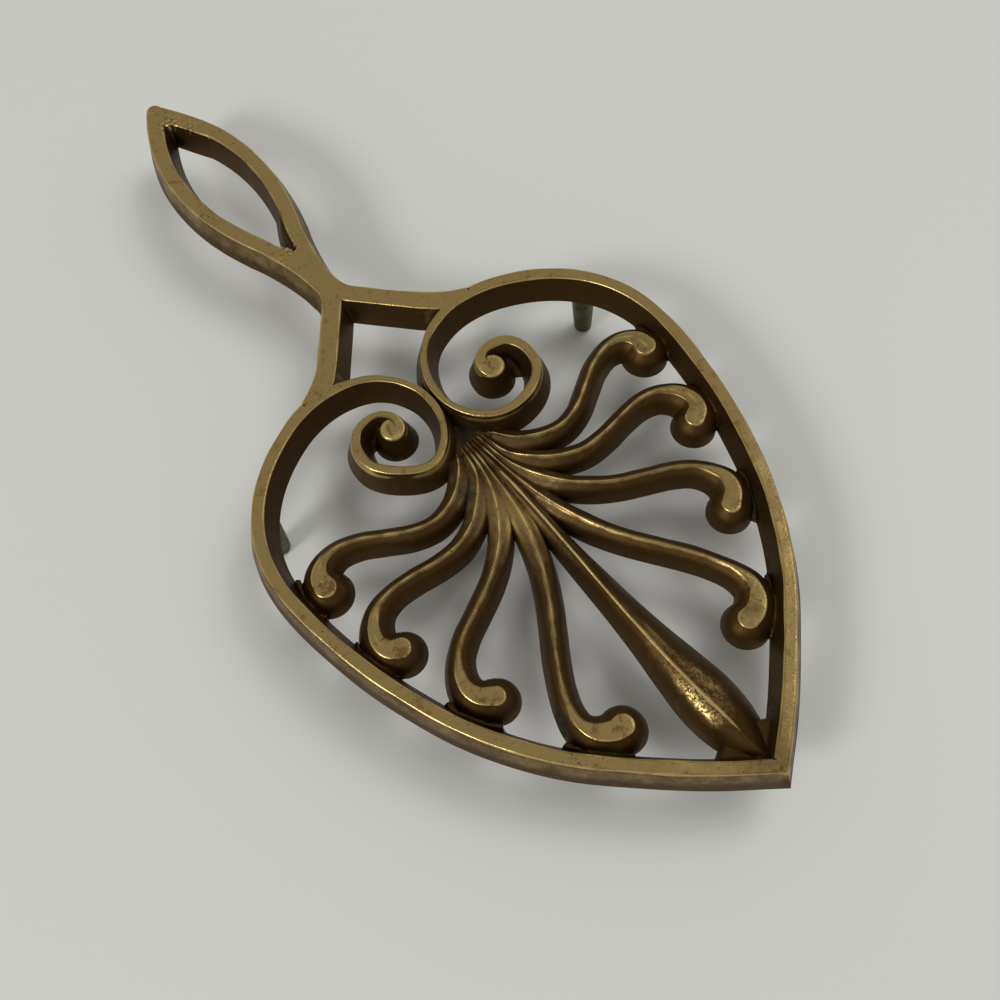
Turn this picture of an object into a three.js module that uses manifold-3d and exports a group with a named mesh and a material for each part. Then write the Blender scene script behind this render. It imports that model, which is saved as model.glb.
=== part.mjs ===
// Brass trivet: a heart-shaped casting with a palmette and a loop handle, on three peg feet.
// Millimetres, +Z up, handle towards +Y. The underside of the feet is at Z = 0.
import * as THREE from 'three';
import { mergeVertices } from 'three/addons/utils/BufferGeometryUtils.js';
import Module from 'manifold-3d';

const wasm = await Module();
wasm.setup();

// Sizes of the heart and the handle, along the middle of their strips
const heartWidth = 110;
const heartLength = 130.6;
const handleLength = 104.9;
const handleWidth = 20;

// Heights above the flat underside of the casting
const castingHeight = 7.2;
const leafHeight = 5.8;
const rootHeight = 4.6;
const bossHeight = 6.8;
const hollowHeight = 2.6;
const edgeRound = 0.35;

// Slopes that let the casting leave the sand: how far each wall spreads down to the underside
const rimDraft = 1.8;
const coilDraft = 2.1;
const handleDraft = 1.6;

// Feet, and the blind holes that their spigots are driven into
const footLength = 15;
const footTopRadius = 3.0;
const footEndRadius = 2.3;
const footFlatRadius = 1.1;
const spigotRadius = 1.6;
const spigotLength = 2.4;
const seatGap = 0.3;

// Handwork: the handle and the point lean a little
const handleLean = THREE.MathUtils.degToRad(1.9);
const pointLean = 0.8;
const pointLeanReach = 70;

// The pattern drawing: outlines of the right half as [across, along, half width of the top face].
// It is drawn at full size, and stretched when a size of the heart or the handle is changed.
const rim = [
  [0, 2.1, 1.5], [10.5, 10.3, 1.5], [21.3, 20.2, 1.5], [31, 30.2, 1.5], [38.2, 40.2, 1.5],
  [43.6, 50, 1.5],
  [47.7, 60.3, 1.5], [50.9, 70.4, 1.5], [53.2, 81, 1.5], [54.7, 91, 1.5], [55, 99, 1.5],
  [54, 106.3, 1.5],
  [51.3, 113.4, 1.5], [47, 119.6, 1.5], [41.4, 124.8, 1.5], [34.8, 128.9, 1.5], [27.5, 131.8, 1.5],
  [20, 132.7, 1.5], [13.4, 131.2, 1.1], [8.4, 129, 0.95],
];
const ring = [
  [5, 125.2, 0.9], [2.7, 121.8, 0.85], [1.6, 118.4, 0.85], [1.25, 114.5, 0.85], [1.7, 110.8, 0.85],
  [3.1, 107.2, 0.85], [5.4, 104, 0.85], [8.4, 101.8, 0.9],
];

// The two coils were carved by eye, so each has its own path, its own boss and its own hollow between them
const volutes = {
  right: {
    coil: [
      [12, 100.7, 1], [15.6, 100.8, 1.1], [19, 101.7, 1.15], [22, 103.6, 1.15],
      [24.1, 106.4, 1.15], [24.9, 110, 1.2],
      [24.4, 113.3, 1.3], [22.6, 115.9, 1.35], [19.9, 117, 1.3], [17, 117, 1.2], [15, 115.8, 1.4],
      [14.3, 114.4, 1.6], [14.15, 113.2, 1.62], [14.5, 112.1, 1.75], [15.4, 111.5, 1.9],
    ],
    boss: { centre: [15.7, 112.6], topRadius: 3.2, baseRadius: 5.4 },
    hollow: [[20.9, 108.7, 0.5], [22, 110.8, 1.4], [21.6, 113, 1.6], [20, 114.8, 1.4], [18, 115.6, 1]],
  },
  left: {
    coil: [
      [11, 101.1, 0.95], [14, 101.9, 1.05], [17.2, 104.1, 1.15], [20.2, 107.1, 1.15],
      [22.1, 110.2, 1.05],
      [22.4, 113.8, 1.1], [21.4, 117, 1.15], [19, 119.4, 1], [16, 120.2, 0.9], [13.3, 119.8, 0.9],
      [11.3, 118.2, 0.9],
      [10.5, 116.4, 1], [10.6, 114.8, 1.15], [11.1, 113.7, 1.4], [12.1, 113.1, 1.6],
    ],
    boss: { centre: [12.5, 114.5], topRadius: 3.05, baseRadius: 5.3 },
    hollow: [[18.4, 115.6, 0.5], [18.2, 117, 1.2], [16.6, 118, 1.4], [14.6, 118.2, 1.2], [13, 117.8, 0.9]],
  },
};

// Ridge line of each leaf on the right half, from the root out to the end of its curl
const leaves = [
  [[4.6, 100.6, 0.3], [6.8, 97, 0.35], [10.2, 93.5, 0.4], [14, 91.2, 0.45], [19, 90.2, 0.5],
    [24.5, 91.6, 0.5],
    [30, 94.8, 0.5], [35.3, 97.9, 0.55], [40.5, 99.3, 0.7], [44.6, 98.4, 1.2], [47, 95.8, 2.1],
    [47.3, 93.2, 2.6]],
  [[3.2, 99.6, 0.3], [4.5, 93.4, 0.35], [8.2, 88.4, 0.4], [13, 84.3, 0.45], [18.4, 82.1, 0.5],
    [24.5, 82, 0.5],
    [31, 82.9, 0.5], [36.8, 83.1, 0.55], [41.4, 81.8, 0.8], [44.6, 78.8, 1.3], [45.8, 75.2, 1.7],
    [44.8, 72.4, 2.1], [42.8, 71.2, 2.3]],
  [[2.1, 99.2, 0.3], [2.8, 93, 0.35], [4.3, 87.6, 0.4], [7, 82.3, 0.45], [10.4, 77.6, 0.45],
    [14.6, 73.7, 0.5],
    [19.4, 70.5, 0.5], [24.8, 67.8, 0.5], [30, 65.2, 0.5], [34.1, 62.2, 0.6], [36.6, 58.6, 1],
    [37.4, 55.2, 1.5],
    [36.4, 52.2, 1.9], [33.8, 50, 2.2]],
  [[1.1, 99, 0.3], [1.6, 91, 0.35], [2.3, 84.5, 0.4], [3.4, 78.6, 0.45], [5.2, 72.4, 0.5],
    [7.6, 66.2, 0.5],
    [10.8, 60.2, 0.5], [14.7, 54.2, 0.5], [18.6, 48.4, 0.5], [21.8, 42.8, 0.5], [23.8, 37.8, 0.7],
    [24.2, 33.8, 1.2], [22.6, 30.6, 1.8], [19.8, 28.7, 2.2], [17.8, 28.4, 2.4]],
];
const leafFoot = 2.6;
const leafFlare = 1.2;

// Middle leaf: [along, crest's place across, half widths of crest, shoulder and base, height].
// Its crest was filed by hand and swings to the left over the broad head.
const middleLeaf = [
  [99, 0, 0.3, 0.7, 1.2, 4.6], [88, 0, 0.4, 1, 1.6, 5.8], [76, -0.1, 0.5, 1.4, 2.4, 6.2],
  [62, -0.5, 0.5, 1.7, 3.2, 6.2],
  [50, -1, 0.5, 2, 3.9, 6.2], [40, -1.3, 0.5, 2.6, 4.8, 6.3], [31, -1.5, 0.45, 3.4, 6, 6.6],
  [23, -1.4, 0.4, 4.1, 6.9, 6.8], [17, -1, 0.3, 3.9, 6.7, 6.5], [12, -0.5, 0.25, 2.9, 5.7, 5.4],
  [7, 0, 0.25, 1.6, 4.2, 3.4], [3.5, 0, 0.25, 0.8, 2.4, 2.4],
];

// Strand of the handle from the neck to its tip, and the arm from the neck to the rim
const strand = [
  [1.45, 158, 1.9], [1.6, 163, 1.85], [2.3, 169, 1.85], [4.3, 177.4, 1.95], [6.3, 183.2, 1.95],
  [8.3, 190.4, 1.95],
  [9.6, 197.8, 1.95], [10, 205, 1.95], [9.6, 212, 2.0], [8.4, 218.6, 2.05], [6.6, 224.3, 2.1],
  [4, 230.4, 2.2],
  [0, 237.6, 2.2],
];
const arm = [
  [0, 155.9, 2.6], [1.9, 153.2, 2.4], [5.8, 148.5, 2.4], [10.9, 142.5, 2.4], [15.1, 137.8, 2.5],
  [19, 134.6, 2.6],
  [24.5, 132.8, 1.4],
];
const neck = [[0, 153.5, 3.4], [0, 160, 3.2], [0, 167, 3.3], [0, 172, 2.4]];
const tip = [0, 238.3, 1.7];

// The feet stand under the rim at its shoulders, and under the end of the middle leaf
const footPlaces = { foot_left: [-48.6, 117.4], foot_right: [48.6, 117.4], foot_front: [0, 11] };

// Places on the drawing, stretched to the sizes above
const farthest = (points, which) => Math.max(...points.map((point) => point[which]));
const drawnHeart = { width: 2 * farthest(rim, 0), point: rim[0][1], length: farthest(rim, 1) - rim[0][1] };
const drawnHandle = {
  width: 2 * farthest(strand, 0),
  foot: farthest(rim, 1),
  length: farthest(strand, 1) - farthest(rim, 1),
};
const heartPlace = ([across, along]) => [
  (across * heartWidth) / drawnHeart.width,
  drawnHeart.point + ((along - drawnHeart.point) * heartLength) / drawnHeart.length,
];
const lobeTop = drawnHeart.point + heartLength;
const handlePlace = ([across, along]) => [
  (across * handleWidth) / drawnHandle.width,
  lobeTop + ((along - drawnHandle.foot) * handleLength) / drawnHandle.length,
];
const lean = (along) => {
  const nearPoint = Math.max(0, 1 - along / pointLeanReach) ** 2;
  return pointLean * nearPoint - Math.tan(handleLean) * Math.max(0, along - lobeTop);
};

// A closed solid through equal rings of points, with flat ends
const loft = (rings) => {
  const count = rings[0].length;
  const positions = rings.flat(2);
  const index = [];
  for (let i = 0; i < rings.length - 1; i += 1) {
    for (let j = 0; j < count; j += 1) {
      const a = i * count + j;
      const b = i * count + ((j + 1) % count);
      index.push(a, a + count, b, b, a + count, b + count);
    }
  }
  const last = (rings.length - 1) * count;
  for (let j = 1; j < count - 1; j += 1) {
    index.push(0, j, j + 1, last, last + j + 1, last + j);
  }
  const geometry = new THREE.BufferGeometry();
  geometry.setAttribute('position', new THREE.Float32BufferAttribute(positions, 3));
  geometry.setIndex(index);
  return geometry;
};

const toSolid = (geometry) => {
  const bare = new THREE.BufferGeometry();
  bare.setAttribute('position', geometry.getAttribute('position').clone());
  bare.setIndex(geometry.getIndex());
  const merged = mergeVertices(bare, 1e-4);
  const solid = new wasm.Manifold(new wasm.Mesh({
    numProp: 3,
    vertProperties: new Float32Array(merged.getAttribute('position').array),
    triVerts: new Uint32Array(merged.getIndex().array),
  }));
  if (solid.volume() < 0) throw new Error('a solid is inside out');
  return solid;
};

const toGeometry = (solid) => {
  const mesh = solid.getMesh();
  const geometry = new THREE.BufferGeometry();
  geometry.setAttribute('position', new THREE.Float32BufferAttribute(mesh.vertProperties, 3));
  geometry.setIndex(Array.from(mesh.triVerts));
  return geometry;
};

// A drafted strip along a plan curve, with the same number of steps between each two points. Its
// section is a list of [distance from the middle, height], from the base up to the crest, and is
// mirrored to the other side. A strip that starts or ends on the middle line is mitred there.
const strip = (points, stepsBetween, section, mitre = {}) => {
  const places = points.map((p) => new THREE.Vector3(...p));
  const curve = new THREE.CatmullRomCurve3(places, false, 'centripetal');
  const steps = (points.length - 1) * stepsBetween;
  const rings = [];
  for (let i = 0; i <= steps; i += 1) {
    const t = i / steps;
    const from = Math.max(0, t - 0.5 / steps);
    const to = Math.min(1, t + 0.5 / steps);
    const here = curve.getPoint(t);
    const behind = curve.getTangent(from).setZ(0).normalize();
    const ahead = curve.getTangent(to).setZ(0).normalize();
    const way = curve.getTangent(t).setZ(0).normalize();
    const span = curve.getPoint(from).distanceTo(curve.getPoint(to));
    const bend = (behind.x * ahead.y - behind.y * ahead.x) / span;
    const room = 0.92 / Math.max(Math.abs(bend), 1e-6);
    let side = [-way.y, way.x];
    if ((i === 0 && mitre.start) || (i === steps && mitre.end)) side = [0, 1 / way.x];
    const place = (distance, height) => {
      const inside = Math.sign(distance) === Math.sign(bend);
      const reach = inside ? Math.sign(distance) * Math.min(Math.abs(distance), room) : distance;
      return [here.x + side[0] * reach, here.y + side[1] * reach, height];
    };
    const half = section(here.z, t);
    rings.push([
      ...half.map(([distance, height]) => place(-distance, height)),
      ...half.map(([distance, height]) => place(distance, height)).reverse(),
    ]);
  }
  return loft(rings);
};

// A drafted round end, turned from the same section as the strip that it ends
const roundEnd = ([x, y], section, sides = 24) => {
  const outline = section.map(([distance, height]) => new THREE.Vector2(distance, height));
  const geometry = new THREE.LatheGeometry([
    new THREE.Vector2(0, 0), ...outline, new THREE.Vector2(0, section.at(-1)[1]),
  ], sides);
  geometry.rotateX(Math.PI / 2);
  geometry.translate(x, y, 0);
  return geometry;
};

const flatTopped = (draft, sink = () => 0) => (half, t) => {
  const height = castingHeight - sink(t);
  return [
    [half + (typeof draft === 'function' ? draft(t) : draft), 0],
    [half, height - edgeRound],
    [half - edgeRound, height],
  ];
};

const leafSection = (half, t) => {
  const height = THREE.MathUtils.lerp(rootHeight, leafHeight, THREE.MathUtils.smoothstep(t, 0, 0.3));
  const base = leafFoot + leafFlare * half;
  return [[base, 0], [half + 0.62 * (base - half), height - 1.5], [half, height]];
};

// Low web that fills the angle between the two rings and the root of the palmette
const rootWeb = [[113, 0.6, 2.4], [107, 3.4, 2.6], [102, 6.6, 2.8], [97, 8.4, 3], [93, 8, 3]];
const webSections = () => rootWeb.map(([along, half, height]) => {
  const [across, y] = heartPlace([half, along]);
  return [[-across - 0.8, y, 0], [-across, y, height], [across, y, height], [across + 0.8, y, 0]];
});

const middleSections = () => middleLeaf.map(([along, swing, crest, shoulder, base, height]) => {
  const [, y] = heartPlace([0, along]);
  return [
    [-base, y, 0], [swing / 2 - shoulder, y, height * 0.72], [swing - crest, y, height],
    [swing + crest, y, height], [swing / 2 + shoulder, y, height * 0.72], [base, y, 0],
  ];
});

// One half of the casting: side is 1 for the right half, -1 for the left
const halfCasting = (side) => {
  const { coil, boss, hollow } = side > 0 ? volutes.right : volutes.left;
  const heart = ([x, y, ...rest]) => {
    const [across, along] = heartPlace([x, y]);
    return [across * side, along, ...rest];
  };
  const handle = ([x, y, ...rest]) => [...handlePlace([x * side, y]), ...rest];
  const outline = [...rim, ...ring, ...coil];
  const lobeEnd = rim.length / outline.length;
  const outlineDraft = (t) => THREE.MathUtils.lerp(
    rimDraft, coilDraft, THREE.MathUtils.smoothstep(t, lobeEnd, lobeEnd + 0.05),
  );
  // The coil sinks to the height of the boss as it winds into it
  const sink = (t) => (castingHeight - bossHeight) * THREE.MathUtils.smoothstep(t, 0.93, 0.99);
  const bossSection = [
    [boss.baseRadius, 0],
    [boss.topRadius, bossHeight - edgeRound],
    [boss.topRadius - edgeRound, bossHeight],
  ];
  const pieces = [
    strip(outline.map(heart), 3, flatTopped(outlineDraft, sink), { start: true }),
    roundEnd(heart(boss.centre), bossSection),
    strip(hollow.map(heart), 3, (half) => [[half + 1.5, 0], [half, hollowHeight]]),
    strip(strand.map(handle), 3, flatTopped(handleDraft)),
    strip(arm.map(handle), 2, flatTopped(rimDraft)),
  ];
  leaves.forEach((leaf) => {
    const points = leaf.map(heart);
    pieces.push(strip(points, 3, leafSection));
    pieces.push(roundEnd(points.at(-1), leafSection(leaf.at(-1)[2], 1), 16));
  });
  return pieces.map(toSolid);
};

const castingSolid = () => {
  const parts = [...halfCasting(1), ...halfCasting(-1)];
  parts.push(toSolid(loft(middleSections())));
  parts.push(toSolid(loft(webSections())));
  parts.push(toSolid(roundEnd(handlePlace(tip), flatTopped(handleDraft)(tip[2], 1))));
  parts.push(toSolid(strip(neck.map((p) => [...handlePlace(p), p[2]]), 2, flatTopped(handleDraft))));
  return parts.reduce((whole, part) => whole.add(part));
};

// A foot is turned from rod: a rounded end, a tapered shank and a spigot for the blind hole above
const footGeometry = () => {
  const profile = [[0, 0], [footFlatRadius, 0]];
  for (let i = 1; i <= 5; i += 1) {
    const angle = (i / 5) * (Math.PI / 2);
    const reach = footEndRadius - footFlatRadius;
    profile.push([footFlatRadius + reach * Math.sin(angle), reach * (1 - Math.cos(angle))]);
  }
  profile.push([footTopRadius, footLength - seatGap], [spigotRadius, footLength - seatGap]);
  profile.push([spigotRadius, footLength + spigotLength], [0, footLength + spigotLength]);
  const geometry = new THREE.LatheGeometry(profile.map((p) => new THREE.Vector2(...p)), 28);
  geometry.rotateX(Math.PI / 2);
  return geometry;
};

const spigotHole = ([x, y]) => {
  const depth = spigotLength + seatGap;
  const radius = spigotRadius + seatGap;
  const geometry = new THREE.CylinderGeometry(radius, radius, depth + 1, 28);
  geometry.rotateX(Math.PI / 2);
  geometry.translate(x, y, (depth + 1) / 2 - 1);
  return toSolid(geometry);
};

const feet = Object.fromEntries(
  Object.entries(footPlaces).map(([name, place]) => [name, heartPlace(place)]),
);

const leaned = (geometry) => {
  const position = geometry.getAttribute('position');
  for (let i = 0; i < position.count; i += 1) {
    position.setX(i, position.getX(i) + lean(position.getY(i)));
  }
  return geometry;
};

const castingBrass = new THREE.MeshStandardMaterial({ color: 0x8f7b45, roughness: 0.42, metalness: 1 });
const footBrass = new THREE.MeshStandardMaterial({ color: 0x4f4d38, roughness: 0.55, metalness: 1 });
const group = new THREE.Group();

const holes = Object.values(feet).map(spigotHole);
const drilled = holes.reduce((whole, hole) => whole.subtract(hole), castingSolid());
const casting = new THREE.Mesh(leaned(toGeometry(drilled)), castingBrass);
casting.name = 'trivet_casting';
casting.position.z = footLength;
group.add(casting);

Object.entries(feet).forEach(([name, [x, y]]) => {
  const foot = new THREE.Mesh(footGeometry(), footBrass);
  foot.name = name;
  foot.position.set(x + lean(y), y, 0);
  group.add(foot);
});

// The origin is on the floor, in the middle of the trivet's length and width
const bounds = new THREE.Box3().setFromObject(group);
const middle = bounds.getCenter(new THREE.Vector3());
group.children.forEach((piece) => piece.position.sub(new THREE.Vector3(middle.x, middle.y, 0)));

export default group;
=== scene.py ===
import bpy
import numpy as np
from mathutils import Matrix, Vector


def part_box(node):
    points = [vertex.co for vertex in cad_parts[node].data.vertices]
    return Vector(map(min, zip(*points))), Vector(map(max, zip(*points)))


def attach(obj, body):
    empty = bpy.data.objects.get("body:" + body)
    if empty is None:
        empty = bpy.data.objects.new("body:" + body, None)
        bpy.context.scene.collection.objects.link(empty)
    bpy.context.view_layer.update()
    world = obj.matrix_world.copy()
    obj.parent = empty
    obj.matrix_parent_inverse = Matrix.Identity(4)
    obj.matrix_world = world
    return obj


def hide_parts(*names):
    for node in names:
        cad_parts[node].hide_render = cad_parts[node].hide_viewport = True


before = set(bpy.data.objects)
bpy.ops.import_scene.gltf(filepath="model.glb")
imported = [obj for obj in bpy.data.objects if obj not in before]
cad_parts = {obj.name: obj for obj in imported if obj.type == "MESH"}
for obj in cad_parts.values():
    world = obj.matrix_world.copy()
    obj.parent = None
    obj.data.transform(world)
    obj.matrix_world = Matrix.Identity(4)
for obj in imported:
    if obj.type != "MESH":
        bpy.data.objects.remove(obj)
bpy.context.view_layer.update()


# The rim, the two rings of the volutes and their coils are one strip on each side of the heart.
# Brass, cast in sand from a carved pattern, so its walls lean outwards to the flat underside,
# and its top was filed flat and has worn round at the edges.
CASTING_HEIGHT = 7.2
RIM_DRAFT = 1.8
COIL_DRAFT = 2.1
STEP = 0.7
INNER_BEND = 0.92
# Each row of a strip's line: place across, place along, half the width of its top.
RIM = [
    [0, 2.1, 1.5], [10.5, 10.3, 1.5], [21.3, 20.2, 1.5], [31, 30.2, 1.5], [38.2, 40.2, 1.5],
    [43.6, 50, 1.5], [47.7, 60.3, 1.5], [50.9, 70.4, 1.5], [53.2, 81, 1.5], [54.7, 91, 1.5],
    [55, 99, 1.5], [54, 106.3, 1.5], [51.3, 113.4, 1.5], [47, 119.6, 1.5], [41.4, 124.8, 1.5],
    [34.8, 128.9, 1.5], [27.5, 131.8, 1.5], [20, 132.7, 1.5], [13.4, 131.2, 1.1],
    [8.5, 128.75, 0.95],
]
RING = [
    [4.85, 125.15, 0.9], [2.75, 121.6, 0.85], [1.6, 118.4, 0.85], [1.25, 114.5, 0.85],
    [1.7, 110.8, 0.85], [3.1, 107.2, 0.85], [5.4, 104, 0.85], [8.4, 101.8, 0.9],
]
COILS = {
    1: [
        [12, 100.7, 1], [15.6, 100.8, 1.1], [19, 101.7, 1.15], [22, 103.6, 1.15],
        [24.1, 106.4, 1.15], [24.9, 110, 1.2], [24.4, 113.3, 1.3], [22.6, 115.9, 1.35],
        [19.9, 117, 1.3], [17, 117, 1.2], [15, 115.8, 1.4], [14.3, 114.4, 1.6],
        [14.15, 113.2, 1.62], [14.5, 112.1, 1.75], [15.4, 111.5, 1.9],
    ],
    -1: [
        [11, 101.1, 0.95], [14, 101.9, 1.05], [17.2, 104.1, 1.15], [20.2, 107.1, 1.15],
        [22.1, 110.2, 1.05], [22.4, 113.8, 1.1], [21.4, 117, 1.15], [19, 119.4, 1],
        [16, 120.2, 0.9], [13.3, 119.8, 0.9], [11.3, 118.2, 0.9], [10.5, 116.4, 1],
        [10.6, 114.8, 1.15], [11.1, 113.7, 1.4], [12.1, 113.1, 1.6],
    ],
}
# The share of a line's points at which it has passed the lobe.
LOBE_END = len(RIM) / (len(RIM) + len(RING) + len(COILS[1]))


def smoothstep(value, low, high):
    """0 below low, 1 above high, and between them 3k^2 - 2k^3 of the share k of the way."""
    k = np.clip((value - low) / (high - low), 0, 1)
    return k * k * (3 - 2 * k)


def along_curve(points, step):
    """Equal steps along a centripetal Catmull-Rom curve through the points.

    In each span the curve is the cubic that meets both its ends with slopes worked out from the
    neighbours, at knots as far apart as the square root of the distance. Gives the places and
    each one's share of the spans passed.
    """
    p = np.array(points, float)
    ends = np.vstack([2 * p[0] - p[1], p, 2 * p[-1] - p[-2]])
    knot = np.sqrt(np.linalg.norm(np.diff(ends, axis=0), axis=1))[:, None]
    before, gap, after = knot[:-2], knot[1:-1], knot[2:]
    a, b, c, d = ends[:-3], ends[1:-2], ends[2:-1], ends[3:]
    leave = ((b - a) / before - (c - a) / (before + gap) + (c - b) / gap) * gap
    arrive = ((c - b) / gap - (d - b) / (gap + after) + (d - c) / after) * gap
    square = 3 * (c - b) - 2 * leave - arrive
    cube = 2 * (b - c) + leave + arrive

    def at(passed):
        k = np.minimum(passed.astype(int), len(b) - 1)
        w = (passed - k)[:, None]
        return b[k] + leave[k] * w + square[k] * w**2 + cube[k] * w**3

    fine = np.linspace(0, len(b), 40 * len(b) + 1)
    run = np.linalg.norm(np.diff(at(fine)[:, :2], axis=0), axis=1)
    length = np.concatenate([[0], np.cumsum(run)])
    count = max(3, int(round(length[-1] / step)))
    passed = np.interp(np.linspace(0, length[-1], count + 1), length, fine)
    return at(passed), passed / len(b)


def cut_corners(profile):
    """Each stretch between two points is kept from a quarter to three quarters of its length,
    apart from the first and the last point, so each corner becomes a short bevel."""
    a, b = profile[:, :-1], profile[:, 1:]
    inner = np.stack([0.75 * a + 0.25 * b, 0.25 * a + 0.75 * b], axis=2)
    inner = inner.reshape(len(profile), -1, 2)[:, 1:-1]
    return np.concatenate([profile[:, :1], inner, profile[:, -1:]], axis=1)


def tube(rings):
    """A closed skin over equal rings of points: four-sided faces between each two rings, and one
    flat face over each end."""
    rows, count = rings.shape[:2]
    i, j = np.meshgrid(np.arange(rows - 1), np.arange(count), indexing="ij")
    a = i * count + j
    b = i * count + (j + 1) % count
    quads = np.stack([a, a + count, b + count, b], axis=-1).reshape(-1, 4)
    start = np.arange(count)
    end = start[::-1] + (rows - 1) * count
    return rings.reshape(-1, 3), quads.tolist() + [start.tolist(), end.tolist()]


def strip(points, section, step=STEP, mitre_start=False):
    """A profile carried along a plan curve and mirrored to its other side.

    A point at distance d from the middle lies at the curve's place plus d times the level
    direction across it. The bend is a mean over five places, and inside it d stops at a share
    of its radius, INNER_BEND. A mitred strip starts on the middle line of the heart, and no
    point of it crosses that line.
    """
    path, share = along_curve(points, step)
    place, half = path[:, :2], path[:, 2]
    way = np.gradient(place, axis=0)
    pace = np.linalg.norm(way, axis=1)
    way /= pace[:, None]
    heading = np.unwrap(np.arctan2(way[:, 1], way[:, 0]))
    bend = np.convolve(np.pad(np.gradient(heading) / pace, 2, "edge"), np.ones(5) / 5, "valid")
    room = INNER_BEND / np.maximum(np.abs(bend), 1e-6)
    side = np.stack([-way[:, 1], way[:, 0]], axis=1)
    if mitre_start:
        side[0] = [0, 1 / way[0, 0]]
    profile = section(half, share)
    distance = np.concatenate([-profile[:, :, 0], profile[:, -2::-1, 0]], axis=1)
    height = np.concatenate([profile[:, :, 1], profile[:, -2::-1, 1]], axis=1)
    inside = np.sign(distance) == np.sign(bend)[:, None]
    near = np.sign(distance) * np.minimum(np.abs(distance), room[:, None])
    reach = np.where(inside, near, distance)
    across = place[:, 0, None] + side[:, 0, None] * reach
    along = place[:, 1, None] + side[:, 1, None] * reach
    if mitre_start:
        hand = np.sign(place[1, 0])
        across = hand * np.maximum(hand * across, 0)
    return tube(np.stack([across, along, height], axis=-1))


def rows_of(points, size):
    """The points of a profile as an array with one row for each place along the strip."""
    columns = [[np.broadcast_to(value, size) for value in point] for point in points]
    return np.array(columns).transpose(2, 0, 1)


def flat_top(half, draft, top=CASTING_HEIGHT):
    """Half of a drafted section: the wall leans in by the draft on its way up, the edge is
    rounded over about half a millimetre, and the top rises a little to its middle."""
    points = [
        [half + draft, 0],
        [half + 0.95 * draft, 0.3],
        [half + 0.56 * draft, 0.42 * top],
        [half + 0.2 * draft, 0.78 * top],
        [half + 0.04, top - 0.55],
        [half - 0.06, top - 0.1],
        [half - 0.45, top],
        [0.4 * half, top + 0.03],
        [0, top + 0.04],
    ]
    return cut_corners(rows_of(points, half.shape))


def outline_section(half, share):
    """A flat-topped strip whose draft changes from the rim's to the coil's past the lobe, and
    whose top sinks a little where it winds into the eye."""
    k = smoothstep(share, LOBE_END, LOBE_END + 0.05)
    top = CASTING_HEIGHT - 0.3 * smoothstep(share, 0.93, 0.99)
    return flat_top(half, RIM_DRAFT + (COIL_DRAFT - RIM_DRAFT) * k, top)


def mirrored(points, side):
    """The same points with the distance across turned to one side of the heart."""
    return [[point[0] * side, *point[1:]] for point in points]


casting_parts = []
for side, coil in COILS.items():
    outline = mirrored(RIM + RING + coil, side)
    casting_parts.append(strip(outline, outline_section, mitre_start=True))


# Each coil ends in a round boss like an eye, with a low floor of metal left between the turns.
# Part of the same casting. The two eyes were carved by eye and differ in place and size.
EYES = {
    1: {"centre": [15.7, 112.6], "top": 3.2, "base": 5.4},
    -1: {"centre": [-12.5, 114.5], "top": 3.05, "base": 5.3},
}
EYE_HEIGHT = 6.8
EYE_SIDES = 56
CENTRE_RADIUS = 0.05
HOLLOW_HEIGHT = 2.6
HOLLOW_START = 0.5
HOLLOWS = {
    1: [[20.9, 108.9, 0.3], [22, 110.8, 1.2], [21.6, 113, 1.7], [20, 114.8, 1.7],
        [17.6, 115.4, 1.6], [16.2, 115, 1.4]],
    -1: [[18.4, 115.6, 0.3], [18.3, 117, 1.1], [16.6, 118, 1.6], [14.6, 118, 1.6],
         [12.8, 117.2, 1.4], [12.2, 116.6, 1.2]],
}


def turned(centre, profile, sides):
    """A profile of [radius, height] points turned round an upright axis at the centre."""
    radius, height = np.array(profile, float).T
    angle = -2 * np.pi * np.arange(sides) / sides
    across = centre[0] + radius[:, None] * np.cos(angle)
    along = centre[1] + radius[:, None] * np.sin(angle)
    level = np.broadcast_to(height[:, None], across.shape)
    return tube(np.stack([across, along, level], axis=-1))


def hollow_section(half, share):
    """Half of a low bank of metal with soft shoulders, which rises away from the open slot."""
    height = HOLLOW_START + (HOLLOW_HEIGHT - HOLLOW_START) * smoothstep(share, 0, 0.5)
    points = [[half + 1.6, 0], [half + 0.9, 0.5 * height], [half + 0.2, 0.9 * height],
              [0.4 * half, height], [0, height]]
    return cut_corners(rows_of(points, half.shape))


for side, eye in EYES.items():
    top, base = eye["top"], eye["base"]
    profile = [
        [base, 0], [base - 0.1, 0.4], [top + 0.62 * (base - top), 2.2],
        [top + 0.24 * (base - top), 4.6], [top + 0.08, 5.9], [top - 0.02, EYE_HEIGHT - 0.35],
        [top - 0.28, EYE_HEIGHT - 0.06], [top - 0.7, EYE_HEIGHT + 0.02],
        [0.5 * top, EYE_HEIGHT + 0.1], [0.2 * top, EYE_HEIGHT + 0.13],
        [CENTRE_RADIUS, EYE_HEIGHT + 0.14],
    ]
    casting_parts.append(turned(eye["centre"], profile, EYE_SIDES))
    casting_parts.append(strip(mirrored(HOLLOWS[side], side), hollow_section))


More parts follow.
